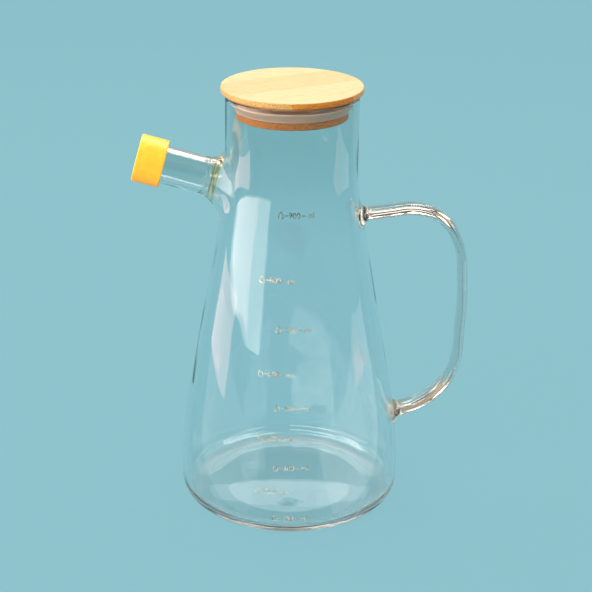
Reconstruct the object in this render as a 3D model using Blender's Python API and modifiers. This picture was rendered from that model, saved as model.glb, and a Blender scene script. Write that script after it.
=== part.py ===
"""Glass oil cruet: a conical blown vessel with a fused spout and strap handle, a bamboo lid with its
silicone seal, and a silicone cap over the spout. Metres, +Z up, origin at the centre of the base,
the spout towards -X and the handle towards +X."""

import math

import bmesh
import bpy
from mathutils import Vector

MM = 0.001
GAP = 0.3 * MM  # clearance between pieces that touch

# glass body, heights above the table
BODY_RADIUS = 54.3 * MM
NECK_RADIUS = 31.5 * MM
HEEL_RADIUS = 8.1 * MM
INNER_HEEL_RADIUS = 5.5 * MM
WALL = 2.2 * MM
FLOOR = 2.6 * MM
BELLY_TOP = 12.0 * MM
CONE_FOOT = 54.0 * MM
CONE_HEAD = 150.0 * MM
NECK_FOOT = 174.0 * MM
RIM_HEIGHT = 206.0 * MM
RIM_ROUNDING = 1.0 * MM
BODY_SIDES = 60
CONE_SLOPE = (BODY_RADIUS - NECK_RADIUS) / ((CONE_HEAD + NECK_FOOT - BELLY_TOP - CONE_FOOT) / 2)

# spout: a straight tube whose axis leaves the neck wall at SPOUT_ROOT
SPOUT_ROOT = Vector((-NECK_RADIUS, 0, 163.0 * MM))
SPOUT_RISE = math.radians(15.2)
SPOUT_RADIUS = 9.1 * MM
SPOUT_BORE = 7.3 * MM
SPOUT_TIP = 40.4 * MM
SPOUT_SIDES = 40
FLARE_TOP = 7.0 * MM  # how far the weld runs out along the tube and along the wall
FLARE_BOTTOM = 10.0 * MM
FLARE_FULLNESS_TOP = 0.35  # 0 is a hollow fillet, 1 a straight chamfer
FLARE_FULLNESS_BOTTOM = 0.65

# handle: an oval strap bent in the XZ plane
HANDLE_THICKNESS = 5.0 * MM
HANDLE_WIDTH = 13.6 * MM
HANDLE_WELD = 1.18  # size at the welds over size along the strap
HANDLE_ROUTE = [  # x, z in mm: top weld, arch, grip, lower bend, bottom weld
    (32.8, 146.6), (36.5, 147.1), (47.0, 148.6), (59.5, 149.9), (71.5, 145.8), (80.3, 133.8), (83.6, 112.0),
    (83.5, 90.0), (81.2, 67.0), (74.0, 54.6), (62.6, 46.4), (54.8, 43.5), (51.4, 42.4),
]

# lid: a bamboo disc with a plug that goes down into the neck
LID_TOP = 210.0 * MM
LID_RADIUS = 33.4 * MM
LID_UNDERSIDE = RIM_HEIGHT + GAP
LID_UNDERSIDE_RADIUS = 31.6 * MM
LID_ROUNDING = 0.8 * MM
LID_SHOULDER = 1.1 * MM
PLUG_RADIUS = 26.4 * MM
PLUG_BOTTOM = 195.5 * MM
PLUG_ROUNDING = 0.6 * MM
GROOVE_RADIUS = 24.5 * MM
GROOVE_BOTTOM = 198.8 * MM
GROOVE_TOP = 203.9 * MM

# seal: a flared silicone ring in the plug's groove
SEAL_LIP_RADIUS = NECK_RADIUS - WALL - GAP
SEAL_FOOT_RADIUS = 26.9 * MM
SEAL_LIP_THICKNESS = 0.8 * MM

# cap: a silicone cup pushed over the spout
CAP_RADIUS = 11.4 * MM
CAP_LENGTH = 13.2 * MM
CAP_END = 2.6 * MM
CAP_ROUNDING = 0.6 * MM
CAP_SIDES = 48

SPOUT_AXIS = Vector((-math.cos(SPOUT_RISE), 0, math.sin(SPOUT_RISE)))
SPOUT_UP = Vector((math.sin(SPOUT_RISE), 0, math.cos(SPOUT_RISE)))
SPOUT_SIDE = Vector((0, 1, 0))


def clear_scene():
    for obj in list(bpy.data.objects):
        bpy.data.objects.remove(obj, do_unlink=True)


def new_collection(name):
    collection = bpy.data.collections.new(name)
    bpy.context.scene.collection.children.link(collection)
    return collection


def material(name, colour, roughness, metallic=0.0, transmission=0.0):
    made = bpy.data.materials.new(name)
    made.use_nodes = True
    shader = made.node_tree.nodes["Principled BSDF"]
    shader.inputs["Base Color"].default_value = (*colour, 1)
    shader.inputs["Roughness"].default_value = roughness
    shader.inputs["Metallic"].default_value = metallic
    shader.inputs["Transmission Weight"].default_value = transmission
    return made


def arc(centre_r, centre_z, radius, start, end, steps):
    """Points (r, z) of an arc; angles in degrees from the +r direction, towards +z."""
    points = []
    for i in range(steps + 1):
        angle = math.radians(start + (end - start) * i / steps)
        points.append((centre_r + radius * math.cos(angle), centre_z + radius * math.sin(angle)))
    return points


def eased_length(z, start, end):
    """The integral of a smooth step from 0 to 1 between start and end: a wall that bends gently."""
    if z <= start:
        return 0.0
    if z >= end:
        return z - (start + end) / 2
    t = (z - start) / (end - start)
    return (end - start) * (t**3 - t**4 / 2)


def body_radius(z):
    """Outer radius of the vessel's side at height z."""
    bend = eased_length(z, BELLY_TOP, CONE_FOOT) - eased_length(z, CONE_HEAD, NECK_FOOT)
    return BODY_RADIUS - CONE_SLOPE * bend


def side_heights(top, bottom):
    """Heights at which the side needs a ring of points, from top to bottom."""
    heights = [top]
    for start, end, steps in ((CONE_HEAD, NECK_FOOT, 7), (BELLY_TOP, CONE_FOOT, 7)):
        heights += [end - (end - start) * i / steps for i in range(steps + 1)]
    return [z for z in heights + [bottom] if bottom <= z <= top]


def turned(name, profile, sides, collection, closed=False):
    """A Screw of the profile (r, z), which runs down the outer side from the top."""
    mesh = bpy.data.meshes.new(name)
    points = [(r, 0, z) for r, z in profile]
    edges = [(i, i + 1) for i in range(len(points) - 1)]
    if closed:
        edges.append((len(points) - 1, 0))
    mesh.from_pydata(points, edges, [])
    obj = bpy.data.objects.new(name, mesh)
    collection.objects.link(obj)
    screw = obj.modifiers.new("Turn", "SCREW")
    screw.axis = "Z"
    screw.steps = sides
    screw.render_steps = sides
    screw.use_merge_vertices = True
    screw.merge_threshold = 0.00001
    screw.use_smooth_shade = True
    return obj


def boolean(obj, other, operation):
    modifier = obj.modifiers.new(operation.title(), "BOOLEAN")
    modifier.operation = operation
    modifier.solver = "EXACT"
    modifier.object = other


def as_helper(obj):
    obj.hide_render = True
    obj.display_type = "WIRE"
    return obj


def body_solid(collection):
    """The outside of the vessel as one solid, without its cavity."""
    rim = arc(NECK_RADIUS - RIM_ROUNDING, RIM_HEIGHT - RIM_ROUNDING, RIM_ROUNDING, 90, 0, 4)
    side = [(body_radius(z), z) for z in side_heights(RIM_HEIGHT - 2 * RIM_ROUNDING, HEEL_RADIUS)]
    heel = arc(BODY_RADIUS - HEEL_RADIUS, HEEL_RADIUS, HEEL_RADIUS, 0, -90, 8)
    return turned("glass_vessel", [(0, RIM_HEIGHT)] + rim + side + heel[1:] + [(0, 0)], BODY_SIDES, collection)


def cavity_solid(collection):
    """What is taken out of the vessel: the room inside, up through the neck."""
    inner_neck = NECK_RADIUS - WALL
    above = RIM_HEIGHT + 4 * MM
    lip = arc(inner_neck + RIM_ROUNDING, RIM_HEIGHT - RIM_ROUNDING, RIM_ROUNDING, 90, 180, 4)
    heel_z = FLOOR + INNER_HEEL_RADIUS
    side = [(body_radius(z) - WALL, z) for z in side_heights(RIM_HEIGHT - 2 * RIM_ROUNDING, heel_z)]
    heel = arc(BODY_RADIUS - WALL - INNER_HEEL_RADIUS, heel_z, INNER_HEEL_RADIUS, 0, -90, 6)
    top = [(0, above), (inner_neck + RIM_ROUNDING, above)]
    return as_helper(turned("cavity", top + lip + side + heel[1:] + [(0, FLOOR)], BODY_SIDES, collection))


def spout_point(angle, radius, along):
    """A point round the spout's axis: angle 0 is the side, 90 degrees is on top."""
    outward = SPOUT_SIDE * math.cos(angle) + SPOUT_UP * math.sin(angle)
    return SPOUT_ROOT + SPOUT_AXIS * along + outward * radius


def wall_reach(angle, radius):
    """How far along the spout's axis a line at this angle and radius leaves the vessel's wall."""
    inside, outside = -20 * MM, 20 * MM
    for _ in range(40):
        middle = (inside + outside) / 2
        point = spout_point(angle, radius, middle)
        if math.hypot(point.x, point.y) < body_radius(point.z):
            inside = middle
        else:
            outside = middle
    return inside


def flare_outline(angle, steps):
    """(radius, along) from the straight tube down over the weld to the vessel's wall."""
    low = (1 - math.sin(angle)) / 2
    size = FLARE_TOP + (FLARE_BOTTOM - FLARE_TOP) * low
    fullness = FLARE_FULLNESS_TOP + (FLARE_FULLNESS_BOTTOM - FLARE_FULLNESS_TOP) * low
    corner = Vector((SPOUT_RADIUS, wall_reach(angle, SPOUT_RADIUS)))
    tube_end = corner + Vector((0, size))
    wall_end = Vector((SPOUT_RADIUS + size, wall_reach(angle, SPOUT_RADIUS + size)))
    pull = corner.lerp((tube_end + wall_end) / 2, fullness)
    outline = []
    for i in range(steps + 1):
        t = i / steps
        outline.append(tube_end * (1 - t) ** 2 + pull * 2 * t * (1 - t) + wall_end * t**2)
    return outline


def spout_solid(collection):
    """The spout and its weld as one loft of rings, ending inside the vessel's wall."""
    sunk = 0.25 * MM
    columns = []
    for k in range(SPOUT_SIDES):
        angle = 2 * math.pi * k / SPOUT_SIDES
        tip = [(SPOUT_RADIUS - 0.8 * MM, SPOUT_TIP), (SPOUT_RADIUS - 0.2 * MM, SPOUT_TIP - 0.3 * MM)]
        tip.append((SPOUT_RADIUS, SPOUT_TIP - 0.9 * MM))
        flare = [tuple(point) for point in flare_outline(angle, 6)]
        wall_radius, wall_along = flare[-1]
        flare[-1] = (wall_radius, wall_along - sunk)
        root = [(wall_radius - 2 * MM, wall_along - 1.6 * MM), (SPOUT_RADIUS, -5 * MM)]
        columns.append([spout_point(angle, radius, along) for radius, along in tip + flare + root])
    mesh = bpy.data.meshes.new("spout")
    build = bmesh.new()
    rings = [[build.verts.new(column[i]) for column in columns] for i in range(len(columns[0]))]
    for upper, lower in zip(rings, rings[1:]):
        for k in range(SPOUT_SIDES):
            after = (k + 1) % SPOUT_SIDES
            build.faces.new((upper[k], upper[after], lower[after], lower[k]))
    build.faces.new(list(reversed(rings[0])))
    build.faces.new(rings[-1])
    bmesh.ops.recalc_face_normals(build, faces=build.faces[:])
    build.to_mesh(mesh)
    build.free()
    obj = bpy.data.objects.new("spout", mesh)
    collection.objects.link(obj)
    return as_helper(obj)


def spout_bore(collection):
    """The straight hole through the spout, from inside the neck out past the tip."""
    start, end = -14 * MM, SPOUT_TIP + 4 * MM
    bpy.ops.mesh.primitive_cylinder_add(vertices=SPOUT_SIDES, radius=SPOUT_BORE, depth=end - start)
    obj = bpy.context.active_object
    obj.name = "spout_bore"
    obj.location = SPOUT_ROOT + SPOUT_AXIS * (start + end) / 2
    obj.rotation_euler = SPOUT_AXIS.to_track_quat("Z", "Y").to_euler()
    for holder in list(obj.users_collection):
        holder.objects.unlink(obj)
    collection.objects.link(obj)
    return as_helper(obj)


def handle_solid(collection):
    """A round strap on a smooth route, widened along Y into an oval, then made a mesh for the union."""
    curve = bpy.data.curves.new("handle", "CURVE")
    curve.dimensions = "3D"
    curve.resolution_u = 4
    curve.bevel_depth = HANDLE_THICKNESS / 2
    curve.bevel_resolution = 3
    curve.use_fill_caps = True
    spline = curve.splines.new("BEZIER")
    spline.bezier_points.add(len(HANDLE_ROUTE) - 1)
    last = len(HANDLE_ROUTE) - 1
    for i, (x, z) in enumerate(HANDLE_ROUTE):
        point = spline.bezier_points[i]
        point.co = (x * MM, 0, z * MM)
        point.handle_left_type = point.handle_right_type = "AUTO"
        point.radius = HANDLE_WELD if i in (0, last) else 1.0
    route = bpy.data.objects.new("handle_route", curve)
    collection.objects.link(route)
    bpy.context.view_layer.update()
    graph = bpy.context.evaluated_depsgraph_get()
    mesh = bpy.data.meshes.new_from_object(route.evaluated_get(graph))
    bpy.data.objects.remove(route, do_unlink=True)
    build = bmesh.new()
    build.from_mesh(mesh)
    bmesh.ops.remove_doubles(build, verts=build.verts[:], dist=0.01 * MM)
    bmesh.ops.scale(build, vec=(1, HANDLE_WIDTH / HANDLE_THICKNESS, 1), verts=build.verts[:])
    bmesh.ops.recalc_face_normals(build, faces=build.faces[:])
    build.to_mesh(mesh)
    build.free()
    obj = bpy.data.objects.new("handle", mesh)
    collection.objects.link(obj)
    return as_helper(obj)


def glass_vessel(parts, helpers):
    vessel = body_solid(parts)
    boolean(vessel, spout_solid(helpers), "UNION")
    boolean(vessel, handle_solid(helpers), "UNION")
    boolean(vessel, cavity_solid(helpers), "DIFFERENCE")
    boolean(vessel, spout_bore(helpers), "DIFFERENCE")
    vessel.data.materials.append(material("clear_glass", (0.90, 0.95, 0.95), 0.03, transmission=1.0))


def bamboo_lid(parts):
    edge = arc(LID_RADIUS - LID_ROUNDING, LID_TOP - LID_ROUNDING, LID_ROUNDING, 90, 0, 3)
    shoulder = arc(LID_UNDERSIDE_RADIUS, LID_UNDERSIDE + LID_SHOULDER, LID_SHOULDER, 0, -90, 3)
    plug_foot = arc(PLUG_RADIUS - PLUG_ROUNDING, PLUG_BOTTOM + PLUG_ROUNDING, PLUG_ROUNDING, 0, -90, 3)
    plug = [
        (PLUG_RADIUS, LID_UNDERSIDE),
        (PLUG_RADIUS, GROOVE_TOP),
        (GROOVE_RADIUS, GROOVE_TOP),
        (GROOVE_RADIUS, GROOVE_BOTTOM),
        (PLUG_RADIUS, GROOVE_BOTTOM),
    ]
    profile = [(0, LID_TOP)] + edge + shoulder + plug + plug_foot + [(0, PLUG_BOTTOM)]
    lid = turned("bamboo_lid", profile, BODY_SIDES, parts)
    lid.data.materials.append(material("bamboo", (0.80, 0.60, 0.33), 0.55))


def lid_seal(parts):
    bottom = GROOVE_BOTTOM + GAP
    top = GROOVE_TOP - GAP
    profile = [
        (SEAL_LIP_RADIUS - SEAL_LIP_THICKNESS / 2, top),
        (SEAL_LIP_RADIUS, top - SEAL_LIP_THICKNESS / 2),
        (SEAL_LIP_RADIUS - 0.3 * MM, top - 1.2 * MM),
        (SEAL_FOOT_RADIUS + 0.3 * MM, bottom + 0.8 * MM),
        (SEAL_FOOT_RADIUS, bottom + 0.3 * MM),
        (SEAL_FOOT_RADIUS - 0.3 * MM, bottom),
        (GROOVE_RADIUS + GAP, bottom),
        (GROOVE_RADIUS + GAP, top),
    ]
    seal = turned("lid_seal", profile, BODY_SIDES, parts, closed=True)
    seal.data.materials.append(material("white_silicone", (0.82, 0.78, 0.72), 0.45))


def spout_cap(parts):
    """A cup turned about Z with its closed end up, then laid along the spout's axis."""
    bore = SPOUT_RADIUS + GAP
    closed_end = SPOUT_TIP + GAP + CAP_END
    open_end = closed_end - CAP_LENGTH
    end_edge = arc(CAP_RADIUS - CAP_ROUNDING, closed_end - CAP_ROUNDING, CAP_ROUNDING, 90, 0, 3)
    open_edge = arc(CAP_RADIUS - CAP_ROUNDING, open_end + CAP_ROUNDING, CAP_ROUNDING, 0, -90, 3)
    inside = [(bore + 0.3 * MM, open_end), (bore, open_end + 0.3 * MM), (bore, closed_end - CAP_END)]
    profile = [(0, closed_end)] + end_edge + open_edge + inside + [(0, closed_end - CAP_END)]
    cap = turned("spout_cap", profile, CAP_SIDES, parts)
    cap.location = SPOUT_ROOT
    cap.rotation_euler = SPOUT_AXIS.to_track_quat("Z", "Y").to_euler()
    cap.data.materials.append(material("yellow_silicone", (1.0, 0.58, 0.06), 0.45))


def main():
    clear_scene()
    parts = new_collection("oil_cruet")
    helpers = new_collection("cutters")
    glass_vessel(parts, helpers)
    bamboo_lid(parts)
    lid_seal(parts)
    spout_cap(parts)


main()
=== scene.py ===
import math

import bmesh
import bpy
import numpy as np
from mathutils import Matrix, Vector


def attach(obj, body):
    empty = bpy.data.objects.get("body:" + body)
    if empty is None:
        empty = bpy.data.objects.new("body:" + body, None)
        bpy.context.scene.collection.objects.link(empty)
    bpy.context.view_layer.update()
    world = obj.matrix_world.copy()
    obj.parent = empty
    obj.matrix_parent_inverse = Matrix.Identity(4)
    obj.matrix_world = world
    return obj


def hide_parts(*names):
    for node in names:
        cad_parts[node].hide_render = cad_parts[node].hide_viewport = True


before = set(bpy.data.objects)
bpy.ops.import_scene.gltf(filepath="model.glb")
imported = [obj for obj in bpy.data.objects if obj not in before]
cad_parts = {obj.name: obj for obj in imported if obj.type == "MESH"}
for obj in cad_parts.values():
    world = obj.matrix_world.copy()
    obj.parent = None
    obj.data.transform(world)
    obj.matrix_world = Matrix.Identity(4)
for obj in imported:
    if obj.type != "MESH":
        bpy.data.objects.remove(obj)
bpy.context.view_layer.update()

mm = 0.001  # the pieces' dictionaries are in millimetres, the studio's in metres


def metres(values):
    return [value * mm for value in values]


def linear(hexColour):
    # sRGB hex to the linear values that shaders want
    channels = [int(hexColour[i:i + 2], 16) / 255 for i in (1, 3, 5)]
    return [c / 12.92 if c <= 0.04045 else ((c + 0.055) / 1.055) ** 2.4 for c in channels] + [1]


def addNode(tree, kind, inputs=(), output=0, **settings):
    # adds a node, sets or links its inputs by order or by name, and gives the output asked for
    node = tree.nodes.new(kind)
    for name, value in settings.items():
        setattr(node, name, value)
    for key, value in inputs.items() if isinstance(inputs, dict) else enumerate(inputs):
        if isinstance(value, bpy.types.NodeSocket):
            tree.links.new(value, node.inputs[key])
        else:
            node.inputs[key].default_value = value
    return node.outputs[output] if node.outputs else node


def setRamp(node, stops):
    ramp = node.color_ramp
    while len(ramp.elements) < len(stops):
        ramp.elements.new(0.5)
    for element, (position, hexColour) in zip(ramp.elements, stops):
        element.position = position
        element.color = linear(hexColour)


def newMaterial(name, values):
    material = bpy.data.materials.new(name)
    material.use_nodes = True
    shader = material.node_tree.nodes["Principled BSDF"]
    for socket, value in values.items():
        shader.inputs[socket].default_value = value
    return material, material.node_tree, shader


def newGroup(name, inputs, output):
    # a Geometry Nodes group with named inputs, each with its type
    tree = bpy.data.node_groups.new(name, "GeometryNodeTree")
    tree.is_modifier = True
    for socket, kind in inputs.items():
        tree.interface.new_socket(socket, in_out="INPUT", socket_type="NodeSocket" + kind)
    tree.interface.new_socket(output, in_out="OUTPUT", socket_type="NodeSocketGeometry")
    return tree, addNode(tree, "NodeGroupInput").node.outputs


def endGroup(tree, geometry, finish):
    # instances made real, with their material
    plain = addNode(tree, "GeometryNodeRealizeInstances", [geometry])
    finished = addNode(tree, "GeometryNodeSetMaterial", {"Geometry": plain, "Material": finish})
    addNode(tree, "NodeGroupOutput", [finished])
    return tree


def objectFromPoints(name, points):
    # an object that is only a line through the points, for Geometry Nodes to read
    mesh = bpy.data.meshes.new(name)
    mesh.from_pydata(points, [(i, i + 1) for i in range(len(points) - 1)], [])
    obj = bpy.data.objects.new(name, mesh)
    bpy.context.scene.collection.objects.link(obj)
    return obj


def grow(obj, tree, values):
    # runs a Geometry Nodes group with these named inputs on the object, and keeps the result as a plain mesh
    modifier = obj.modifiers.new(tree.name, "NODES")
    sockets = {item.name: item.identifier for item in tree.interface.items_tree if item.in_out == "INPUT"}
    modifier.node_group = tree
    for name, value in values.items():
        modifier[sockets[name]] = value
    bpy.context.view_layer.update()
    graph = bpy.context.evaluated_depsgraph_get()
    mesh = bpy.data.meshes.new_from_object(obj.evaluated_get(graph))
    obj.modifiers.clear()
    obj.data = mesh
    mesh.name = obj.name


def store(build, obj):
    # faces outward, then back into the object's mesh
    bmesh.ops.recalc_face_normals(build, faces=build.faces[:])
    openEdges = sum(len(edge.link_faces) != 2 for edge in build.edges)
    build.to_mesh(obj.data)
    build.free()
    print(obj.name + ":", len(obj.data.polygons), "faces, open edges:", openEdges)


def claim(obj, node=None):
    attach(obj, "root")
    if node:
        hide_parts(node)


def arc(centreR, centreZ, radius, start, end, steps):
    angles = np.radians(np.linspace(start, end, steps + 1))
    return [(centreR + radius * math.cos(a), centreZ + radius * math.sin(a)) for a in angles]


def roundedProfile(corners, roundings, steps, support):
    # each corner (r, z) becomes a curve, with a point just before and after it so that flats stay flat
    points = []
    for i, (corner, rounding) in enumerate(zip(corners, roundings)):
        here = Vector(corner)
        if not rounding:
            points.append(here)
            continue
        before = (Vector(corners[i - 1]) - here).normalized()
        after = (Vector(corners[i + 1]) - here).normalized()
        reach = rounding / math.tan(before.angle(after) / 2)
        start, end = here + before * reach, here + after * reach
        points.append(here + before * (reach + support))
        for step in range(steps + 1):
            t = step / steps
            points.append(start * (1 - t) ** 2 + here * 2 * t * (1 - t) + end * t ** 2)
        points.append(here + after * (reach + support))
    return points


# Geometry Nodes: a profile turned round the Z axis, its first and last points closed into poles or a ring
def makeTurnTree():
    inputs = {"Profile": "Geometry", "Columns": "Int", "Finish": "Material"}
    tree, given = newGroup("turned on the Z axis", inputs, "Solid")
    count = addNode(tree, "GeometryNodeAttributeDomainSize", [given["Profile"]], "Point Count")
    seam = addNode(tree, "ShaderNodeMath", [given["Columns"], 1.0], operation="ADD")
    grid = addNode(tree, "GeometryNodeMeshGrid",
                   {"Size X": 1.0, "Size Y": 1.0, "Vertices X": seam, "Vertices Y": count})
    place = addNode(tree, "GeometryNodeInputPosition")
    x, y = addNode(tree, "ShaderNodeSeparateXYZ", [place]).node.outputs[:2]
    # the grid's Y picks the profile's point, and its X the turn
    rows = addNode(tree, "ShaderNodeMath", [count, 1.0], operation="SUBTRACT")
    along = addNode(tree, "ShaderNodeMath", [y, 0.5], operation="ADD")
    row = addNode(tree, "ShaderNodeMath", [along, rows], operation="MULTIPLY")
    whole = addNode(tree, "ShaderNodeMath", [row], operation="ROUND")
    point = addNode(tree, "GeometryNodeSampleIndex",
                    {"Geometry": given["Profile"], "Value": place, "Index": whole}, data_type="FLOAT_VECTOR")
    turn = addNode(tree, "ShaderNodeMath", [x, 2 * math.pi], operation="MULTIPLY")
    turned = addNode(tree, "ShaderNodeVectorRotate", {"Vector": point, "Angle": turn}, rotation_type="Z_AXIS")
    moved = addNode(tree, "GeometryNodeSetPosition", {"Geometry": grid, "Position": turned})
    closed = addNode(tree, "GeometryNodeMergeByDistance", {"Geometry": moved, "Distance": 0.02 * mm})
    return endGroup(tree, addNode(tree, "GeometryNodeSetShadeSmooth", [closed]), given["Finish"])


# Geometry Nodes: a strap along a smooth route through the given points, open at both ends;
# a roundness of 1 makes it an oval, and less makes its faces flatter
def makeStrapTree():
    inputs = {"Route": "Geometry", "Width": "Float", "Thickness": "Float", "Roundness": "Float",
              "Rings": "Int", "Sides": "Int", "Finish": "Material"}
    tree, given = newGroup("strap along a route", inputs, "Strap")
    curve = addNode(tree, "GeometryNodeMeshToCurve", [given["Route"]])
    bezier = addNode(tree, "GeometryNodeCurveSplineType", [curve], spline_type="BEZIER")
    eased = addNode(tree, "GeometryNodeCurveSetHandles", [bezier], handle_type="AUTO")
    even = addNode(tree, "GeometryNodeResampleCurve", {"Curve": eased, "Count": given["Rings"]})
    level = addNode(tree, "GeometryNodeSetCurveNormal", {"Curve": even, "Normal": (0, 1, 0)}, mode="FREE")
    circle = addNode(tree, "GeometryNodeCurvePrimitiveCircle", {"Resolution": given["Sides"], "Radius": 0.5})
    place = addNode(tree, "ShaderNodeSeparateXYZ", [addNode(tree, "GeometryNodeInputPosition")]).node.outputs
    sized = []
    for axis, size in (("X", "Width"), ("Y", "Thickness")):
        double = addNode(tree, "ShaderNodeMath", [place[axis], 2.0], operation="MULTIPLY")
        length = addNode(tree, "ShaderNodeMath", [double], operation="ABSOLUTE")
        fuller = addNode(tree, "ShaderNodeMath", [length, given["Roundness"]], operation="POWER")
        side = addNode(tree, "ShaderNodeMath", [place[axis]], operation="SIGN")
        signed = addNode(tree, "ShaderNodeMath", [fuller, side], operation="MULTIPLY")
        half = addNode(tree, "ShaderNodeMath", [given[size], 0.5], operation="MULTIPLY")
        sized.append(addNode(tree, "ShaderNodeMath", [signed, half], operation="MULTIPLY"))
    outline = addNode(tree, "ShaderNodeCombineXYZ", sized)
    section = addNode(tree, "GeometryNodeSetPosition", {"Geometry": circle, "Position": outline})
    tube = addNode(tree, "GeometryNodeCurveToMesh", {"Curve": level, "Profile Curve": section})
    return endGroup(tree, tube, given["Finish"])


turnTree = makeTurnTree()
strapTree = makeStrapTree()


def makeTurned(name, corners, sizes, finish):
    # the sizes give a rounding for each corner, the steps of a rounded corner and the columns of the turn
    profile = roundedProfile(corners, sizes["roundings"], sizes["steps"], sizes["support"])
    obj = objectFromPoints(name, [(r * mm, 0, z * mm) for r, z in profile])
    grow(obj, turnTree, {"Columns": sizes["columns"], "Finish": finish})
    build = bmesh.new()
    build.from_mesh(obj.data)
    store(build, obj)
    return obj


# glass pot with its spout and handle

# the neck and strap tints are painted shade, and the amber is painted reflection in the joints
glassLook = {
    "colour": "#F8FBFC", "drawn": "#F5F9FA", "ior": 1.47,
    "neck": "#E9F0F0", "neckShadeZone": (140, 172),
    "strap": "#E8E6E4", "strapShadeZone": (57.5, 61), "coneSlope": 0.157,
    "amber": "#F2BC62", "rings": (4.4, 6.7), "ringWidth": 0.6, "ringReach": 13.5,
    "weldReach": (5, 9), "weldHaze": 0.27, "weldAmber": 0.5,
    "wornZone": (1.15, 2.3), "wornRadius": (41, 43), "wornRoughness": 0.35,
    "waviness": 0.25, "waveSize": (14, 14, 40), "waveZone": (8, 40), "waveShare": 0.1,
}
vessel = {
    "bodyRadius": 54.3, "neckRadius": 31.5, "wall": 2.2, "floor": 2.6, "heel": 8.1, "heelTop": 9.0,
    "sideFoot": 9.4, "dish": (29.0, 43.5, 0.7), "kickUp": 1.0, "kickUpRadius": 39.0,
    "bellyTop": 12.0, "coneFoot": 54.0, "coneHead": 150.0, "neckFoot": 174.0, "rimHeight": 206.0,
    "rimRounding": 1.0, "columns": 176, "rowStep": 1.7, "baseRings": 20, "heelRings": 14, "rimRings": 5,
    "innerHeelRings": 22, "floorRings": 34, "wallRings": 5, "filletRings": 9,
}
# pairs are for the upper and the lower side, and the window is its half angle, its foot and its top;
# a bead step is a length along the tube and its share of the bead's height
spout = {
    "root": (-31.5, 0, 163.0), "rise": 15.2, "radius": 9.1, "bore": 7.3, "tip": 40.4, "tubeRings": 18,
    "flare": (7.0, 10.0), "full": (0.35, 0.55), "boreFlare": (8.0, 10.6), "window": (36.0, 141.0, 183.0),
    "bead": 0.35, "beadSteps": ((0.4, 0.5), (0.8, 1.0), (1.2, 0.5), (1.6, 0.0)),
    "tipTurns": (30, 60, 90, 120, 150, 180),
}
# the roots and rises are for the upper and the lower joint
handle = {
    "route": [(39.0, 147.5), (47.0, 148.6), (59.5, 149.9), (71.5, 145.8), (80.3, 133.8), (83.6, 112.0),
              (83.5, 90.0), (81.2, 67.0), (74.0, 54.6), (62.6, 46.4), (57.6, 44.6)],
    "width": 13.6, "thickness": 5.0, "roundness": 0.85, "rings": 110,
    "roots": ((32.8, 0, 146.6), (51.4, 0, 42.4)), "rises": (8.0, 19.5),
    "weld": (2.6, 2.6), "weldFull": (0.6, 0.6), "windowHalfAngle": 21.5, "windowRows": 9,
}
# how finely points on the wall are sought, and how far along a branch and away from it
search = {"steps": 40, "along": (-24.0, 30.0), "offset": 60.0}


def addPaintedAmberRings(tree, place):
    # 1 in thin slices across the spout's axis, near that axis, and 0 elsewhere: where amber rings of painted
    # reflection go
    rise = math.radians(spout["rise"])
    axis = (-math.cos(rise), 0, math.sin(rise))
    away = addNode(tree, "ShaderNodeVectorMath", [place, metres(spout["root"])], operation="SUBTRACT")
    along = addNode(tree, "ShaderNodeVectorMath", [away, axis], "Value", operation="DOT_PRODUCT")
    across = addNode(tree, "ShaderNodeVectorMath", [away, axis], operation="CROSS_PRODUCT")
    reach = addNode(tree, "ShaderNodeVectorMath", [across], "Value", operation="LENGTH")
    near = addNode(tree, "ShaderNodeMath", [reach, glassLook["ringReach"] * mm], operation="LESS_THAN")
    half = glassLook["ringWidth"] / 2 * mm
    total = 0.0
    for ring in glassLook["rings"]:
        hit = addNode(tree, "ShaderNodeMath", [along, ring * mm, half], operation="COMPARE")
        total = addNode(tree, "ShaderNodeMath", [hit, total], operation="ADD")
    return addNode(tree, "ShaderNodeMath", [total, near], operation="MULTIPLY")
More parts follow.
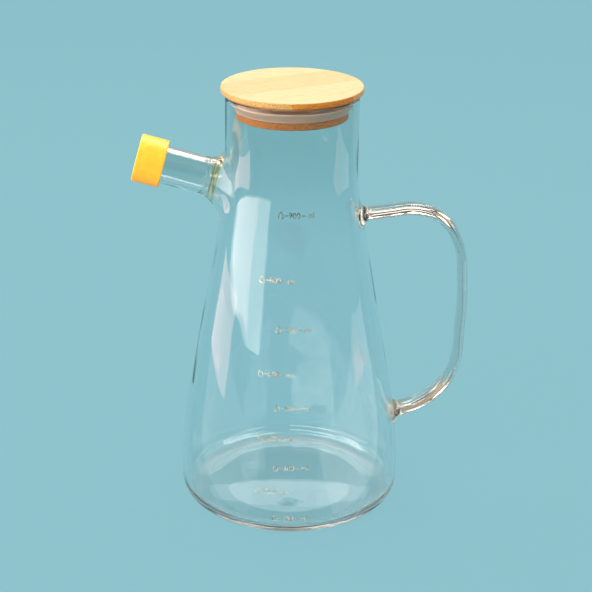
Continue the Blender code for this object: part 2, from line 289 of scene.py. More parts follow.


# borosilicate, blown and fire polished: clear and nearly colourless, with sharp reflections that ripple
# a little, and painted amber reflections where the spout and the handle were fused on
def makeGlass():
    look = glassLook
    material, tree, shader = newMaterial("blown borosilicate glass",
                                         {"IOR": look["ior"], "Transmission Weight": 1.0})
    place = addNode(tree, "ShaderNodeTexCoord", output="Object")
    height = addNode(tree, "ShaderNodeSeparateXYZ", [place], "Z")
    # slight differences of tint where the wall was drawn thicker
    stretch = [1 / (size * mm) for size in look["waveSize"]]
    stretched = addNode(tree, "ShaderNodeVectorMath", [place, stretch], operation="MULTIPLY")
    drawn = addNode(tree, "ShaderNodeTexNoise", {"Vector": stretched, "Scale": 1.0, "Detail": 1.0})
    shade = addNode(tree, "ShaderNodeValToRGB", [drawn])
    setRamp(shade.node, [(0.3, look["drawn"]), (0.7, look["colour"])])
    # painted shade: the neck's wall is thicker and looks darker, so its glass is tinted darker
    neckShadeMask = addNode(tree, "ShaderNodeMapRange", [height, *metres(look["neckShadeZone"])])
    # and the same painted shade, a greyer tint, on the solid glass of the handle, which lies outside the cone
    slant = addNode(tree, "ShaderNodeVectorMath", [place, (1, 0, look["coneSlope"])], "Value",
                    operation="DOT_PRODUCT")
    strapShadeMask = addNode(tree, "ShaderNodeMapRange", [slant, *metres(look["strapShadeZone"])])
    # the joints: painted reflections of warm surroundings, amber rings round the spout's root and amber haze
    # at the handle's ends
    fused = 0.0
    for root in handle["roots"]:
        away = addNode(tree, "ShaderNodeVectorMath", [place, metres(root)], "Value", operation="DISTANCE")
        close = addNode(tree, "ShaderNodeMapRange", [away, *metres(look["weldReach"]), 1, 0])
        fused = addNode(tree, "ShaderNodeMath", [close, fused], operation="ADD")
    rings = addPaintedAmberRings(tree, place)
    paintedAmberMask = addNode(tree, "ShaderNodeMath", [fused, look["weldAmber"], rings], operation="MULTIPLY_ADD")
    for factor, tint in ((neckShadeMask, "neck"), (strapShadeMask, "strap"), (paintedAmberMask, "amber")):
        shade = addNode(tree, "ShaderNodeMix", {"Factor": factor, 6: shade, 7: linear(look[tint])}, 2,
                        data_type="RGBA")
    tree.links.new(shade, shader.inputs["Base Color"])
    # the ring it stands on is worn matt, so no light is trapped there as a dark line
    worn = addNode(tree, "ShaderNodeMapRange", [height, *metres(look["wornZone"]), look["wornRoughness"], 0])
    flat = addNode(tree, "ShaderNodeVectorMath", [place, (1, 1, 0)], operation="MULTIPLY")
    radius = addNode(tree, "ShaderNodeVectorMath", [flat], "Value", operation="LENGTH")
    ring = addNode(tree, "ShaderNodeMapRange", [radius, *metres(look["wornRadius"])])
    matt = addNode(tree, "ShaderNodeMath", [worn, ring], operation="MULTIPLY")
    hazy = addNode(tree, "ShaderNodeMath", [fused, look["weldHaze"], matt], operation="MULTIPLY_ADD")
    tree.links.new(hazy, shader.inputs["Roughness"])
    # faint ripples of the blown wall, which bend what is seen through it; the moulded heel has hardly any
    above = addNode(tree, "ShaderNodeMapRange", [height, *metres(look["waveZone"]), look["waveShare"]])
    bump = addNode(tree, "ShaderNodeBump",
                   {"Height": drawn, "Strength": above, "Distance": look["waviness"] * mm})
    tree.links.new(bump, shader.inputs["Normal"])
    return material


def easedLength(z, start, end):
    # the length of z past the start, with its growth eased in up to the end
    t = np.clip((z - start) / (end - start), 0, 1)
    return (end - start) * (t ** 3 - t ** 4 / 2) + np.maximum(z - end, 0)


def outerRadius(z):
    # straight body, cone and straight neck, with long soft bends between them
    middle = (vessel["coneHead"] + vessel["neckFoot"] - vessel["bellyTop"] - vessel["coneFoot"]) / 2
    slope = (vessel["bodyRadius"] - vessel["neckRadius"]) / middle
    bellyBend = easedLength(z, vessel["bellyTop"], vessel["coneFoot"])
    neckBend = easedLength(z, vessel["coneHead"], vessel["neckFoot"])
    return vessel["bodyRadius"] - slope * (bellyBend - neckBend)


def innerRadius(z):
    return outerRadius(z) - vessel["wall"]


def sideHeights():
    # the rows of the side, from the heel up to the rim's rounding
    foot, head = vessel["heel"], vessel["rimHeight"] - vessel["rimRounding"]
    return np.linspace(foot, head, int((head - foot) / vessel["rowStep"]) + 1)


def vesselProfile():
    flat = vessel["bodyRadius"] - vessel["heel"]
    inside = vessel["bodyRadius"] - vessel["wall"]
    dishStart, dishEnd, dishRise = vessel["dish"]

    def kick(r):
        return vessel["kickUp"] * max(0, 1 - (r / vessel["kickUpRadius"]) ** 2) ** 2

    def innerFloor(r):
        # flat in the middle, then a shallow dish that leads into the heel
        return vessel["floor"] + kick(r) + dishRise * max(0, (r - dishStart) / (dishEnd - dishStart)) ** 2

    heelFoot = innerFloor(dishEnd)
    corner = heelFoot + 2 * dishRise / (dishEnd - dishStart) * (inside - dishEnd)
    side = sideHeights()
    rimFoot, rim = vessel["rimHeight"] - vessel["rimRounding"], vessel["rimRounding"]
    points = [(r, kick(r)) for r in np.linspace(0, flat, vessel["baseRings"])]
    points += arc(flat, vessel["heel"], vessel["heel"], -90, 0, vessel["heelRings"])[1:-1]
    points += [(outerRadius(z), z) for z in side]
    points += arc(vessel["neckRadius"] - rim, rimFoot, rim, 0, 90, vessel["rimRings"])[1:]
    points += arc(vessel["neckRadius"] - vessel["wall"] + rim, rimFoot, rim, 90, 180, vessel["rimRings"])[:-1]
    points += [(innerRadius(z), z) for z in side[::-1] if z > vessel["sideFoot"]]
    for t in np.linspace(0, 1, vessel["innerHeelRings"]):
        r = inside * (1 - t * t) + dishEnd * t * t
        points.append((r, vessel["heelTop"] * (1 - t) ** 2 + corner * 2 * t * (1 - t) + heelFoot * t * t))
    points += [(r, innerFloor(r)) for r in np.linspace(dishEnd, 0, vessel["floorRings"])[1:]]
    return points


def branchPlace(root, rise, direction):
    # where a spout or handle leaves the wall: its axis, its side and its upper side
    angle = math.radians(rise)
    axis = np.array([direction * math.cos(angle), 0, math.sin(angle)])
    up = np.array([-direction * math.sin(angle), 0, math.cos(angle)])
    return {"root": np.array(root, float), "axis": axis, "side": np.array([0.0, 1.0, 0.0]), "up": up}


def branchPoint(place, half, angle, offset, along):
    across = (half[0] + offset) * np.cos(angle)
    upward = (half[1] + offset) * np.sin(angle)
    return (place["root"] + np.outer(along, place["axis"]) + np.outer(across, place["side"])
            + np.outer(upward, place["up"]))


def wallReach(place, half, angle, offset, radiusAt):
    # how far along the branch's axis a line at this angle and offset meets the wall
    inside, outside = (np.full(len(angle), limit) for limit in search["along"])
    for step in range(search["steps"]):
        middle = (inside + outside) / 2
        points = branchPoint(place, half, angle, offset, middle)
        within = np.hypot(points[:, 0], points[:, 1]) < radiusAt(points[:, 2])
        inside, outside = np.where(within, middle, inside), np.where(within, outside, middle)
    return inside


def sectionAngles(place, half, points):
    # angle and offset, in the branch's own section, of points of the wall
    away = points - place["root"]
    u, v = away @ place["side"], away @ place["up"]
    low, high = np.zeros(len(u)), np.full(len(u), search["offset"])
    for step in range(search["steps"]):
        middle = (low + high) / 2
        outside = (u / (half[0] + middle)) ** 2 + (v / (half[1] + middle)) ** 2 > 1
        low, high = np.where(outside, middle, low), np.where(outside, high, middle)
    return np.arctan2(v / (half[1] + low), u / (half[0] + low)), low


def cutWindow(build, direction, inner, halfAngle, low, high):
    # takes out the wall's faces in a window towards +X or -X, and gives the points of the window's edge
    def within(face):
        x, y, z = face.calc_center_median() / mm
        turn = abs(math.degrees(math.atan2(y, x * direction)))
        onInside = math.hypot(x, y) < outerRadius(z) - vessel["wall"] / 2
        return turn < halfAngle and low < z < high and onInside == inner

    doomed = [face for face in build.faces if within(face)]
    rim = {edge for face in doomed for edge in face.edges}
    bmesh.ops.delete(build, geom=doomed, context="FACES_ONLY")
    loose = [edge for edge in rim if edge.is_valid and not edge.link_faces]
    bmesh.ops.delete(build, geom=loose, context="EDGES")
    bmesh.ops.delete(build, geom=[v for v in build.verts if not v.link_edges], context="VERTS")
    edges = [edge for edge in build.edges if len(edge.link_faces) == 1 and edge in rim]
    return list(dict.fromkeys(v for edge in edges for v in edge.verts))


def bridge(build, first, second):
    for k in range(len(first)):
        after = (k + 1) % len(first)
        build.faces.new((first[k], first[after], second[after], second[k]))


def extend(build, ring, points):
    # the next ring, joined to the one before
    following = [build.verts.new(Vector(p) * mm) for p in points]
    bridge(build, ring, following)
    return following


def weld(build, edge, place, half, sizes, fulls, radiusAt):
    # rings from a window's edge over the wall and up a smooth fillet to the start of the branch's tube
    angle, offset = sectionAngles(place, half, np.array([v.co / mm for v in edge]))
    order = np.argsort(angle)
    ring, angle, offset = [edge[k] for k in order], angle[order], offset[order]
    if np.diff(angle).max() > 1:
        raise ValueError("the window's edge is not a ring round the branch")
    even = -math.pi + 2 * math.pi * (np.arange(len(ring)) + 0.5) / len(ring)
    even += np.mean(angle - even)
    size, full = (lower + (upper - lower) * (1 + np.sin(even)) / 2 for upper, lower in (sizes, fulls))
    for i in range(1, vessel["wallRings"] + 1):
        t = i / vessel["wallRings"]
        turned = angle + (even - angle) * t
        out = offset + (size - offset) * t
        along = wallReach(place, half, turned, out, radiusAt)
        ring = extend(build, ring, branchPoint(place, half, turned, out, along))
    corner = wallReach(place, half, even, 0 * size, radiusAt)
    wallEnd = wallReach(place, half, even, size, radiusAt)
    tubeEnd = corner + size
    pullOut = full * size / 2
    pullAlong = corner + full * ((tubeEnd + wallEnd) / 2 - corner)
    for i in range(1, vessel["filletRings"] + 1):
        t = i / vessel["filletRings"]
        out = size * (1 - t) ** 2 + pullOut * 2 * t * (1 - t)
        along = wallEnd * (1 - t) ** 2 + pullAlong * 2 * t * (1 - t) + tubeEnd * t ** 2
        ring = extend(build, ring, branchPoint(place, half, even, out, along))
    return ring, even, tubeEnd


def addSpout(build):
    place = branchPlace(spout["root"], spout["rise"], -1)
    outside, bore = (spout["radius"], spout["radius"]), (spout["bore"], spout["bore"])
    outerEdge = cutWindow(build, -1, False, *spout["window"])
    innerEdge = cutWindow(build, -1, True, *spout["window"])
    ring, angle, start = weld(build, outerEdge, place, outside, spout["flare"], spout["full"], outerRadius)
    # the weld's small bead, the tube and the fire-polished tip
    lip = (spout["radius"] - spout["bore"]) / 2
    tipFoot = spout["tip"] - lip
    steps = [(spout["bead"] * share, start + length) for length, share in spout["beadSteps"]]
    start = start + spout["beadSteps"][-1][0]
    for i in range(1, spout["tubeRings"] + 1):
        steps.append((0, start + (tipFoot - start) * i / spout["tubeRings"]))
    for turn in np.radians(spout["tipTurns"]):
        steps.append((lip * math.cos(turn) - lip, tipFoot + lip * math.sin(turn)))
    zero = np.zeros(len(angle))
    for offset, along in steps:
        ring = extend(build, ring, branchPoint(place, outside, angle, zero + offset, zero + along))
    inner, innerAngle, start = weld(build, innerEdge, place, bore, spout["boreFlare"], spout["full"],
                                    innerRadius)
    for i in range(1, spout["tubeRings"]):
        t = i / spout["tubeRings"]
        along = start + (tipFoot - start) * t
        turned = innerAngle + (angle - innerAngle) * t
        inner = extend(build, inner, branchPoint(place, bore, turned, zero, along))
    bridge(build, inner, ring)


def makeStrap(finish, sides):
    # the strap's rings of points, from the upper joint to the lower one
    strap = objectFromPoints("strap", [(x * mm, 0, z * mm) for x, z in handle["route"]])
    grow(strap, strapTree, {"Width": handle["width"] * mm, "Thickness": handle["thickness"] * mm,
                            "Roundness": handle["roundness"], "Rings": handle["rings"], "Sides": sides,
                            "Finish": finish})
    points = np.array([v.co[:] for v in strap.data.vertices]).reshape(handle["rings"], sides, 3) / mm
    bpy.data.objects.remove(strap)
    return points


def addHandle(build, finish):
    half = (handle["width"] / 2, handle["thickness"] / 2)
    heights = sideHeights()
    reach = handle["windowRows"] / 2 * (heights[1] - heights[0])  # the same number of rows at both ends
    places = [branchPlace(root, rise, 1) for root, rise in zip(handle["roots"], handle["rises"])]
    rings = []
    for place in places:
        middle = place["root"][2]
        edge = cutWindow(build, 1, False, handle["windowHalfAngle"], middle - reach, middle + reach)
        rings.append(weld(build, edge, place, half, handle["weld"], handle["weldFull"], outerRadius)[0])
    ring, last = rings
    if len(ring) != len(last):
        raise ValueError("the handle's two joints have different numbers of points")
    sections = makeStrap(finish, len(ring))
    order = np.argsort(sectionAngles(places[0], half, sections[0])[0])  # round the strap as round the joint
    for section in sections[:, order]:
        ring = extend(build, ring, section)
    # the strap comes down turned over, so its last ring meets the lower joint the other way round
    away = [(v.co - ring[0].co).length for v in last]
    nearest = away.index(min(away))
    bridge(build, ring, [last[(nearest - k) % len(last)] for k in range(len(last))])


def makeVessel():
    finish = makeGlass()
    shell = objectFromPoints("glass_pot", [(r * mm, 0, z * mm) for r, z in vesselProfile()])
    grow(shell, turnTree, {"Columns": vessel["columns"], "Finish": finish})
    build = bmesh.new()
    build.from_mesh(shell.data)
    addSpout(build)
    addHandle(build, finish)
    for face in build.faces:
        face.smooth = True
    store(build, shell)
    shell.data.materials.clear()
    shell.data.materials.append(finish)
    claim(shell, "glass_vessel")
    return shell


pot = makeVessel()

# bamboo lid

# fibres and pores are drawn a little coarser than real ones, so that they show
bamboo = {
    "light": "#CCB38E", "mid": "#BE9C6E", "dark": "#6E3A12", "roughness": 0.5, "specular": 0.25,
    "grain": -28.0, "stripWidth": 23.0, "stripShift": 6.5, "stripShare": 0.45, "base": 0.1,
    "fibreSize": (25, 0.9, 1.11111), "fibreShare": 0.5, "relief": 0.4, "reliefShare": 0.25,
    "poreSize": (6.66667, 0.555556, 0.555556), "poreEdge": (0.2, 0.5), "poreFade": 0.3,
    # the edge and plug tones are painted shade
    "topPores": 0.25, "edgePores": 0.7, "edgeShadeTone": "#BC985E", "edgeTop": 209.75, "shadeShare": 0.95,
    "plugShadeTone": "#EE860A", "plugTop": 206.2, "shadeFade": 0.2, "oldTone": "#B07422", "oldStrip": -1.5,
}
lid = {
    "top": 210.0, "radius": 33.4, "underside": 206.3, "chamfer": 1.1, "undersideRadius": 32.2, "plug": 26.4,
    "plugBottom": 195.5, "groove": 24.5, "grooveTop": 203.9, "grooveBottom": 198.8, "columns": 144,
    "roundings": (0, 0.8, 0.6, 0.6, 0.2, 0.25, 0.2, 0.2, 0.3, 0.6, 0), "steps": 5, "support": 0.35,
}


# strips of bamboo, glued, turned and sanded: pale straw with fine darker fibres, speckled where the turning
# cuts across them, and browner there with painted shade
def makeBamboo():
    material, tree, shader = newMaterial("sanded bamboo", {"Roughness": bamboo["roughness"],
                                                           "Specular IOR Level": bamboo["specular"]})
    place = addNode(tree, "ShaderNodeTexCoord", output="Object")
    # the grain runs along the turned X direction
    along = addNode(tree, "ShaderNodeVectorRotate", {"Vector": place, "Angle": math.radians(bamboo["grain"])},
                    rotation_type="Z_AXIS")
    y, z = addNode(tree, "ShaderNodeSeparateXYZ", [along]).node.outputs[1:]
    # glued strips, each with its own tone
    shifted = addNode(tree, "ShaderNodeMath", [y, bamboo["stripShift"] * mm], operation="ADD")
    strip = addNode(tree, "ShaderNodeMath", [shifted, bamboo["stripWidth"] * mm], operation="DIVIDE")
    number = addNode(tree, "ShaderNodeMath", [strip], operation="FLOOR")
    stripTone = addNode(tree, "ShaderNodeTexWhiteNoise", {"W": number}, noise_dimensions="1D")
    # long fibres, and vessels: dots where a strip is cut across, short lines where it is cut along
    fibreScale, poreScale = ([1 / (size * mm) for size in bamboo[name]] for name in ("fibreSize", "poreSize"))
    stretched = addNode(tree, "ShaderNodeVectorMath", [along, fibreScale], operation="MULTIPLY")
    fibre = addNode(tree, "ShaderNodeTexNoise", {"Vector": stretched, "Scale": 1.0, "Detail": 3.0})
    cells = addNode(tree, "ShaderNodeVectorMath", [along, poreScale], operation="MULTIPLY")
    dots = addNode(tree, "ShaderNodeTexVoronoi", {"Vector": cells, "Scale": 1.0})
    pores = addNode(tree, "ShaderNodeMapRange", [dots, *bamboo["poreEdge"], 1, 0])
    tone = addNode(tree, "ShaderNodeMath", [stripTone, bamboo["stripShare"], bamboo["base"]],
                   operation="MULTIPLY_ADD")
    total = addNode(tree, "ShaderNodeMath", [fibre, bamboo["fibreShare"], tone], operation="MULTIPLY_ADD")
    toned = addNode(tree, "ShaderNodeValToRGB", [total])
    setRamp(toned.node, [(0.25, bamboo["light"]), (0.75, bamboo["mid"])])
    # the strip at the front is of an older, browner cane
    old = addNode(tree, "ShaderNodeMath", [number, bamboo["oldStrip"]], operation="LESS_THAN")
    edge = addNode(tree, "ShaderNodeMix",
                   {"Factor": old, 6: linear(bamboo["edgeShadeTone"]), 7: linear(bamboo["oldTone"])}, 2,
                   data_type="RGBA")
    # painted shade: the cut edge is darker than the top, and the plug under the lid darker and more orange
    # still
    for darker, top in ((edge, bamboo["edgeTop"]), (linear(bamboo["plugShadeTone"]), bamboo["plugTop"])):
        fade = metres((top + bamboo["shadeFade"], top - bamboo["shadeFade"]))
        below = addNode(tree, "ShaderNodeMapRange", [z, *fade])
        share = addNode(tree, "ShaderNodeMath", [below, bamboo["shadeShare"]], operation="MULTIPLY")
        toned = addNode(tree, "ShaderNodeMix", {"Factor": share, 6: toned, 7: darker}, 2, data_type="RGBA")
    # the cut ends of the vessels show most on the edge
    fade = metres((bamboo["edgeTop"], bamboo["edgeTop"] - bamboo["poreFade"]))
    depth = addNode(tree, "ShaderNodeMapRange", [z, *fade, bamboo["topPores"], bamboo["edgePores"]])
    strength = addNode(tree, "ShaderNodeMath", [pores, depth], operation="MULTIPLY")
    mixed = addNode(tree, "ShaderNodeMix", {"Factor": strength, 6: toned, 7: linear(bamboo["dark"])}, 2,
                    data_type="RGBA")
    tree.links.new(mixed, shader.inputs["Base Color"])
    # strips and fibres stand a little proud and catch the light
    bump = addNode(tree, "ShaderNodeBump",
                   {"Height": total, "Strength": bamboo["reliefShare"], "Distance": bamboo["relief"] * mm})
    tree.links.new(bump, shader.inputs["Normal"])
    return material


def makeLid():
    corners = [(0, lid["top"]), (lid["radius"], lid["top"]),
               (lid["radius"], lid["underside"] + lid["chamfer"]), (lid["undersideRadius"], lid["underside"]),
               (lid["plug"], lid["underside"]), (lid["plug"], lid["grooveTop"]),
               (lid["groove"], lid["grooveTop"]), (lid["groove"], lid["grooveBottom"]),
               (lid["plug"], lid["grooveBottom"]), (lid["plug"], lid["plugBottom"]), (0, lid["plugBottom"])]
    claim(makeTurned("turned_lid", corners, lid, makeBamboo()), "bamboo_lid")


makeLid()

# silicone seal

seal = {
    "lip": 29.0, "lipThickness": 0.8, "foot": 26.9, "footHeight": 0.8, "bottom": 199.1, "top": 203.6,
    "inner": 24.8, "roundings": (0, 0.15, 0.3, 0.25, 0.3, 0.3, 0.15, 0), "steps": 4, "support": 0.1,
    # the warm colour and cloud hold painted light from the wood behind the ring
    "columns": 144, "colour": "#FFCEB2", "cloud": "#FAC6A8", "cloudSize": 3.33333,
}


# moulded translucent silicone: soft, faintly cloudy and warm with painted light from the wood behind it, with
# a dull sheen
def makeSiliconeMilky():
    material, tree, shader = newMaterial("milky silicone", {
        "Roughness": 0.35, "IOR": 1.41, "Subsurface Weight": 0.4,
        "Subsurface Radius": (0.003, 0.0015, 0.001)})
    place = addNode(tree, "ShaderNodeTexCoord", output="Object")
    cloud = addNode(tree, "ShaderNodeTexNoise",
                    {"Vector": place, "Scale": 1 / (seal["cloudSize"] * mm), "Detail": 2.0})
    colour = addNode(tree, "ShaderNodeValToRGB", [cloud])
    setRamp(colour.node, [(0.3, seal["cloud"]), (0.7, seal["colour"])])
    tree.links.new(colour, shader.inputs["Base Color"])
    return material


def makeSeal():
    middle = (seal["inner"], (seal["bottom"] + seal["top"]) / 2)  # the ring's profile starts and ends here
    corners = [middle, (seal["inner"], seal["top"]), (seal["lip"], seal["top"]),
               (seal["lip"], seal["top"] - seal["lipThickness"]),
               (seal["foot"], seal["bottom"] + seal["footHeight"]), (seal["foot"], seal["bottom"]),
               (seal["inner"], seal["bottom"]), middle]
    claim(makeTurned("flared_seal", corners, seal, makeSiliconeMilky()), "lid_seal")


makeSeal()

# yellow cap

cap = {
    "radius": 11.4, "length": 13.2, "end": 2.6, "gap": 0.3,
    "roundings": (0, 0.7, 0.5, 0.4, 0.3, 0), "steps": 5, "support": 0.35, "columns": 96,
    "colour": "#FFBC3A", "deep": "#FFB02E", "speckSize": 2.5, "relief": 0.2, "reliefShare": 0.1,
}


# moulded silicone, pigmented yellow: satin, a little translucent at its edges, with slightly uneven pigment
def makeSiliconeYellow():
    material, tree, shader = newMaterial("yellow silicone", {
        "Roughness": 0.45, "IOR": 1.41, "Subsurface Weight": 0.3,
        "Subsurface Radius": (0.004, 0.002, 0.0008)})
    place = addNode(tree, "ShaderNodeTexCoord", output="Object")
    speck = addNode(tree, "ShaderNodeTexNoise",
                    {"Vector": place, "Scale": 1 / (cap["speckSize"] * mm), "Detail": 3.0})
    colour = addNode(tree, "ShaderNodeValToRGB", [speck])
    setRamp(colour.node, [(0.3, cap["deep"]), (0.7, cap["colour"])])
    tree.links.new(colour, shader.inputs["Base Color"])
    bump = addNode(tree, "ShaderNodeBump", {"Height": speck, "Strength": cap["reliefShare"],
                                            "Distance": cap["relief"] * mm})
    tree.links.new(bump, shader.inputs["Normal"])
    return material


def makeCap():
    bore = spout["radius"] + cap["gap"]
    end = spout["tip"] + cap["gap"] + cap["end"]
    start, floor = end - cap["length"], end - cap["end"]
    corners = [(0, end), (cap["radius"], end), (cap["radius"], start), (bore, start), (bore, floor),
               (0, floor)]
    obj = makeTurned("soft_cap", corners, cap, makeSiliconeYellow())
    angle = math.radians(spout["rise"])
    turn = Vector((-math.cos(angle), 0, math.sin(angle))).to_track_quat("Z", "Y").to_matrix().to_4x4()
    obj.data.transform(Matrix.Translation(metres(spout["root"])) @ turn)
    claim(obj, "spout_cap")


makeCap()

# printed graduations

# each place is the angle from the front towards the handle, and the height of the mark's middle;
# the drop is its half width, half height and narrowing towards the top, and a dash its place and length
marks = {
    "places": [(0.58, 10.4), (-8.16, 24.7), (0.89, 37.1), (-7.99, 51.6), (1.81, 66.3), (-8.30, 82.5),
               (2.49, 103.7), (-9.33, 126.6), (4.65, 156.8)],
    "step": 100.0, "textSize": 3.7, "numberShift": -1.15, "unitShift": 6.4, "unit": "ml",
    "dropShift": -7.45, "drop": (1.0, 1.6, 0.55), "dropSides": 28, "dashes": [(-4.9, 1.5), (3.0, 1.7)],
    "dashColumns": 5, "stroke": 0.32, "tilt": -0.0148, "lift": 0.03, "rayStart": 100, "rayLength": 200,
    "gold": "#F4EEDF", "dull": "#A8946A", "brown": "#4A3416", "darkAbove": 148.0, "darker": -0.25,
    "metallic": 0.6, "patchSize": 1.42857, "roughness": (0.25, 0.6),
}


# a lustre, fine metal in a glassy binder, fired on: partly a mirror, so a digit flashes pale or reads dull
# brown, patchy where the transfer was thin
def makePrint():
    material, tree, shader = newMaterial("fired metallic print", {"Metallic": marks["metallic"]})
    place = addNode(tree, "ShaderNodeTexCoord", output="Object")
    patches = addNode(tree, "ShaderNodeTexNoise",
                      {"Vector": place, "Scale": 1 / (marks["patchSize"] * mm), "Detail": 2.0})
    # the top mark is drawn darker than the others
    height = addNode(tree, "ShaderNodeSeparateXYZ", [place], "Z")
    top = addNode(tree, "ShaderNodeMath", [height, marks["darkAbove"] * mm], operation="GREATER_THAN")
    share = addNode(tree, "ShaderNodeMath", [top, marks["darker"], patches], operation="MULTIPLY_ADD")
    colour = addNode(tree, "ShaderNodeValToRGB", [share])
    setRamp(colour.node, [(0.2, marks["brown"]), (0.4, marks["dull"]), (0.6, marks["gold"])])
    tree.links.new(colour, shader.inputs["Base Color"])
    shine = addNode(tree, "ShaderNodeMapRange", [patches, 0, 1, *marks["roughness"]])
    tree.links.new(shine, shader.inputs["Roughness"])
    return material


# Geometry Nodes: one mark for each point given (angle, radius, height), numbered 100, 200 and so on,
# laid on the glass
def makeMarkTree():
    inputs = {"Places": "Geometry", "Surface": "Object", "Text size": "Float", "Stroke": "Float",
              "Tilt": "Float", "Lift": "Float", "Finish": "Material"}
    tree, given = newGroup("numbered marks on a surface", inputs, "Marks")
    count = addNode(tree, "GeometryNodeAttributeDomainSize", [given["Places"]], "Point Count")
    loopStart = tree.nodes.new("GeometryNodeRepeatInput")
    loopEnd = tree.nodes.new("GeometryNodeRepeatOutput")
    loopStart.pair_with_output(loopEnd)
    tree.links.new(count, loopStart.inputs["Iterations"])
    turn = loopStart.outputs["Iteration"]
    place = addNode(tree, "GeometryNodeInputPosition")
    x, y = addNode(tree, "ShaderNodeSeparateXYZ", [place]).node.outputs[:2]
    spot = addNode(tree, "GeometryNodeSampleIndex",
                   {"Geometry": given["Places"], "Value": place, "Index": turn}, data_type="FLOAT_VECTOR")
    spotAngle, spotRadius, spotHeight = addNode(tree, "ShaderNodeSeparateXYZ", [spot]).node.outputs
    # number and unit
    number = addNode(tree, "ShaderNodeMath", [turn, marks["step"], marks["step"]], operation="MULTIPLY_ADD")
    digits = addNode(tree, "FunctionNodeValueToString", {"Value": number})
    unit = addNode(tree, "FunctionNodeInputString", string=marks["unit"])
    parts = []
    for text, shift in ((digits, marks["numberShift"]), (unit, marks["unitShift"])):
        curves = addNode(tree, "GeometryNodeStringToCurves", {"String": text, "Size": given["Text size"]},
                         align_x="CENTER", align_y="MIDDLE")
        letters = addNode(tree, "GeometryNodeRealizeInstances", [curves])
        parts.append((addNode(tree, "GeometryNodeFillCurve", [letters]), shift))
    # the drop: a circle narrowed towards its top, drawn as a flat ribbon
    halfWidth, halfHeight, narrowing = marks["drop"]
    circle = addNode(tree, "GeometryNodeCurvePrimitiveCircle",
                     {"Resolution": marks["dropSides"], "Radius": 1.0})
    narrow = addNode(tree, "ShaderNodeMath", [y, -narrowing, 1.0], operation="MULTIPLY_ADD")
    across = addNode(tree, "ShaderNodeMath", [x, narrow], operation="MULTIPLY")
    shape = addNode(tree, "ShaderNodeCombineXYZ", [across, y])
    sized = addNode(tree, "ShaderNodeVectorMath", [shape, metres((halfWidth, halfHeight, 0))],
                    operation="MULTIPLY")
    drop = addNode(tree, "GeometryNodeSetPosition", {"Geometry": circle, "Position": sized})
    level = addNode(tree, "GeometryNodeSetCurveNormal", {"Curve": drop}, mode="Z_UP")
    start, end = (addNode(tree, "ShaderNodeVectorMath", {0: (side, 0, 0), "Scale": given["Stroke"]},
                          operation="SCALE") for side in (-0.5, 0.5))
    line = addNode(tree, "GeometryNodeCurvePrimitiveLine", {"Start": start, "End": end})
    ribbon = addNode(tree, "GeometryNodeCurveToMesh", {"Curve": level, "Profile Curve": line})
    parts.append((ribbon, marks["dropShift"]))
    for shift, length in marks["dashes"]:
        dash = addNode(tree, "GeometryNodeMeshGrid", {"Size X": length * mm, "Size Y": given["Stroke"],
                                                      "Vertices X": marks["dashColumns"], "Vertices Y": 2})
        parts.append((dash, shift))
    whole = tree.nodes.new("GeometryNodeJoinGeometry")
    for geometry, shift in parts:
        moved = addNode(tree, "GeometryNodeTransform",
                        {"Geometry": geometry, "Translation": (shift * mm, 0, 0)})
        tree.links.new(moved, whole.inputs[0])
    # bend the flat mark round the glass: a ray from outside finds the wall
    turned = addNode(tree, "ShaderNodeMath", [x, spotRadius], operation="DIVIDE")
    angle = addNode(tree, "ShaderNodeMath", [spotAngle, turned], operation="ADD")
    tilted = addNode(tree, "ShaderNodeMath", [x, given["Tilt"], y], operation="MULTIPLY_ADD")
    height = addNode(tree, "ShaderNodeMath", [spotHeight, tilted], operation="ADD")
    inward = addNode(tree, "ShaderNodeVectorRotate", {"Vector": (0, 1, 0), "Angle": angle},
                     rotation_type="Z_AXIS")
    axis = addNode(tree, "ShaderNodeCombineXYZ", {"Z": height})
    back = metres([-marks["rayStart"]] * 3)
    source = addNode(tree, "ShaderNodeVectorMath", [inward, back, axis], operation="MULTIPLY_ADD")
    surface = addNode(tree, "GeometryNodeObjectInfo", {"Object": given["Surface"]}, "Geometry")
    ray = addNode(tree, "GeometryNodeRaycast", {
        "Target Geometry": surface, "Source Position": source, "Ray Direction": inward,
        "Ray Length": marks["rayLength"] * mm}).node.outputs
    laid = addNode(tree, "ShaderNodeVectorMath", [ray["Hit Normal"], given["Lift"], ray["Hit Position"]],
                   operation="MULTIPLY_ADD")
    bent = addNode(tree, "GeometryNodeSetPosition", {"Geometry": whole.outputs[0], "Position": laid})
    joined = tree.nodes.new("GeometryNodeJoinGeometry")
    for geometry in (loopStart.outputs["Geometry"], bent):
        tree.links.new(geometry, joined.inputs[0])
    tree.links.new(joined.outputs[0], loopEnd.inputs["Geometry"])
    return endGroup(tree, loopEnd.outputs["Geometry"], given["Finish"])


def makeMarks(surface):
    places = [(math.radians(angle), outerRadius(z) * mm, z * mm) for angle, z in marks["places"]]
    obj = objectFromPoints("graduations", places)
    grow(obj, makeMarkTree(), {"Surface": surface, "Text size": marks["textSize"] * mm,
                               "Stroke": marks["stroke"] * mm, "Tilt": marks["tilt"],
                               "Lift": marks["lift"] * mm, "Finish": makePrint()})
    claim(obj)
    print("graduations:", len(obj.data.polygons), "faces")


makeMarks(pot)

# camera, floor and lights

camera = {"lens": 93.945, "place": (0, -0.70045, 0.39195), "down": 0.39006, "yaw": 0.00372, "roll": 0.00967}
studio = {
    "floor": "#8EC3CD", "floorSize": 24, "floorGap": 0.00015, "floorRoughness": 0.9, "glow": 0.935,
    "shade": 0.035, "world": "#FFE6CC", "worldStrength": 0.22,
    "bounces": {"max": 28, "transmission": 24, "glossy": 12},
}
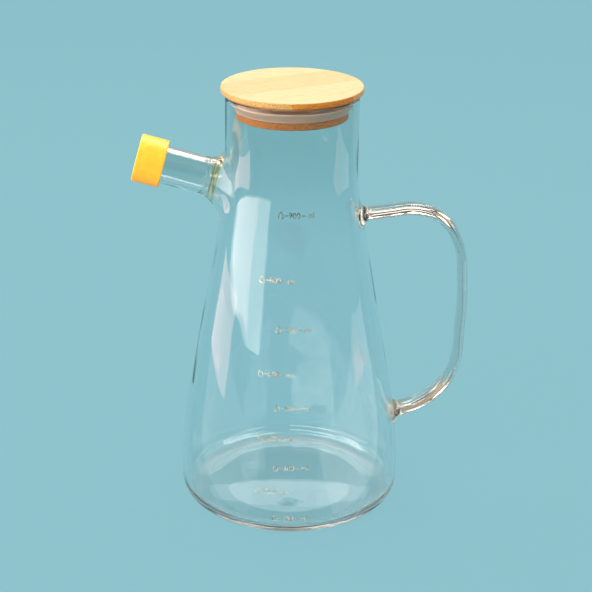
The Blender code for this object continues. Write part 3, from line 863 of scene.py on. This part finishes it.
# azimuth from the front towards the handle, elevation, distance, height aimed at, width, depth, brightness
# as a camera would read it off the light's face, colour, and what it serves
lights = {
    "left box": (-69, 0, 0.8, 0.375, 1.04, 0.75, 2.7, "#FFFAF2", "all"),
    "left box core": (-78, 0, 0.8, 0.375, 0.6, 0.75, 2.0, "#FFD6C8", "all"),
    "right box": (45, 0, 1.0, 0.72, 0.55, 0.5, 5.0, "#FFFAF2", "all"),
    "right side box": (95, 46, 1.15, 0.1, 1.0, 0.3, 2.2, "#FFFAF2", "all"),
    "rear left box": (-136, 54, 1.15, 0.1, 0.9, 0.36, 9.0, "#FFFAF2", "all"),
    "rear right box": (138, 58, 1.15, 0.1, 0.8, 0.36, 8.0, "#FFFAF2", "all"),
    "back box": (180, 30.6, 1.3, 0.05, 1.5, 0.115, 1.6, "#FFFAF2", "all"),
    "back wall": (180, 0, 1.6, 0.3, 3.0, 0.6, 0.3, "#FFF3DA", "all"),
    "ceiling": (180, 90, 1.4, 0.1, 2.2, 2.2, 0.33, "#FFF3DA", "all"),
    "heel left": (-128, 21, 1.1, 0.02, 0.7, 0.2, 3.0, "#FFF0D8", "all"),
    "heel right": (124, 21, 1.1, 0.02, 0.7, 0.2, 3.0, "#FFF0D8", "all"),
    "rear top box": (172, 56, 1.2, 0.1, 0.6, 0.7, 5.0, "#FFFAF2", "reflections"),
    "pink card": (-92, 0, 0.38, 0.035, 0.25, 0.07, 4.0, "#FFC4B8", "reflections"),
    "front key": (-30, 33, 1.1, 0.15, 1.0, 0.28, 11.0, "#FFEFE0", "inside"),
    "front fill": (-35, 8, 1.2, 0.15, 1.0, 0.6, 1.1, "#FFFAF2", "shading"),
    "top fill": (0, 75, 1.3, 0.1, 1.0, 1.0, 0.2, "#FFFAF2", "shading"),
}
# these lie on the table and shine up: the second number is a shift sideways, and the fourth the height
lyingLights = {
    "left low": (-27, -0.3, 0.235, 0.001, 0.6, 0.33, 0.8, "#FFFAF2", "reflections"),
    "right low": (29, 0.3, 0.235, 0.001, 0.6, 0.33, 1.1, "#FFFAF2", "reflections"),
    "left card": (-99, 0, 0.52, 0.001, 0.16, 0.25, 2.6, "#FFB8A0", "reflections"),
    "right card": (87, 0, 0.52, 0.001, 0.16, 0.25, 2.6, "#FF9C94", "reflections"),
    "bounce": (0, 0, 0.001, 0.0, 1.6, 1.6, 0.4, "#FFE0C4", "shading"),
}


def makeCamera():
    data = bpy.data.cameras.new("camera")
    data.lens = camera["lens"]
    obj = bpy.data.objects.new("camera", data)
    bpy.context.scene.collection.objects.link(obj)
    pan = Matrix.Rotation(-camera["yaw"], 4, "Z")
    tilt = Matrix.Rotation(math.pi / 2 - camera["down"], 4, "X")
    roll = Matrix.Rotation(camera["roll"], 4, "Z")
    obj.matrix_world = Matrix.Translation(camera["place"]) @ pan @ tilt @ roll
    bpy.context.scene.camera = obj


# matt card that mostly gives an even light of its own, so that it reads as one flat colour with a trace
# of the pot's shadow
def makeFloor():
    colour = linear(studio["floor"])
    dark = [c * studio["shade"] for c in colour[:3]] + [1]
    material = newMaterial("pale blue card", {
        "Roughness": studio["floorRoughness"], "Specular IOR Level": 0.0, "Base Color": dark,
        "Emission Color": colour, "Emission Strength": studio["glow"]})[0]
    bpy.ops.mesh.primitive_plane_add(size=studio["floorSize"])
    obj = bpy.context.active_object
    obj.name = "floor"
    # a hair below the base, so that the two faces don't coincide
    obj.data.transform(Matrix.Translation((0, 0, -studio["floorGap"])))
    obj.data.materials.append(material)
    obj.visible_diffuse = False  # the card doesn't tint the lid and the cap


def addLight(name, place, turn, width, depth, brightness, colour, use):
    data = bpy.data.lights.new(name, "AREA")
    data.shape = "RECTANGLE"
    data.size, data.size_y = width, depth
    data.energy = brightness * math.pi * width * depth
    data.color = linear(colour)[:3]
    obj = bpy.data.objects.new(name, data)
    bpy.context.scene.collection.objects.link(obj)
    obj.location, obj.rotation_euler = place, turn
    # some only shade the lid and the cap, one shades through the glass too, and some are for it to mirror
    obj.visible_diffuse = use != "reflections"
    obj.visible_glossy = use in ("all", "reflections")
    obj.visible_transmission = use in ("all", "inside")


def makeLights():
    for name, (azimuth, elevation, distance, height, *rest) in lights.items():
        turn, rise = math.radians(azimuth), math.radians(elevation)
        away = Vector((math.sin(turn) * math.cos(rise), -math.cos(turn) * math.cos(rise), math.sin(rise)))
        facing = (-away).to_track_quat("-Z", "Y").to_euler()
        addLight(name, Vector((0, 0, height)) + away * distance, facing, *rest)
    for name, (azimuth, shift, distance, height, *rest) in lyingLights.items():
        turn = math.radians(azimuth)
        x = math.sin(turn) * distance + math.cos(turn) * shift
        y = math.sin(turn) * shift - math.cos(turn) * distance
        addLight(name, (x, y, height), (math.pi, 0, turn), *rest)


def makeWorld():
    world = bpy.data.worlds.new("studio")
    world.use_nodes = True
    background = world.node_tree.nodes["Background"]
    background.inputs["Color"].default_value = linear(studio["world"])
    background.inputs["Strength"].default_value = studio["worldStrength"]
    bpy.context.scene.world = world


makeCamera()
makeFloor()
makeLights()
makeWorld()
bpy.context.scene.view_settings.view_transform = "Standard"
for kind, count in studio["bounces"].items():
    setattr(bpy.context.scene.cycles, kind + "_bounces", count)
print("camera, floor and lights are up")
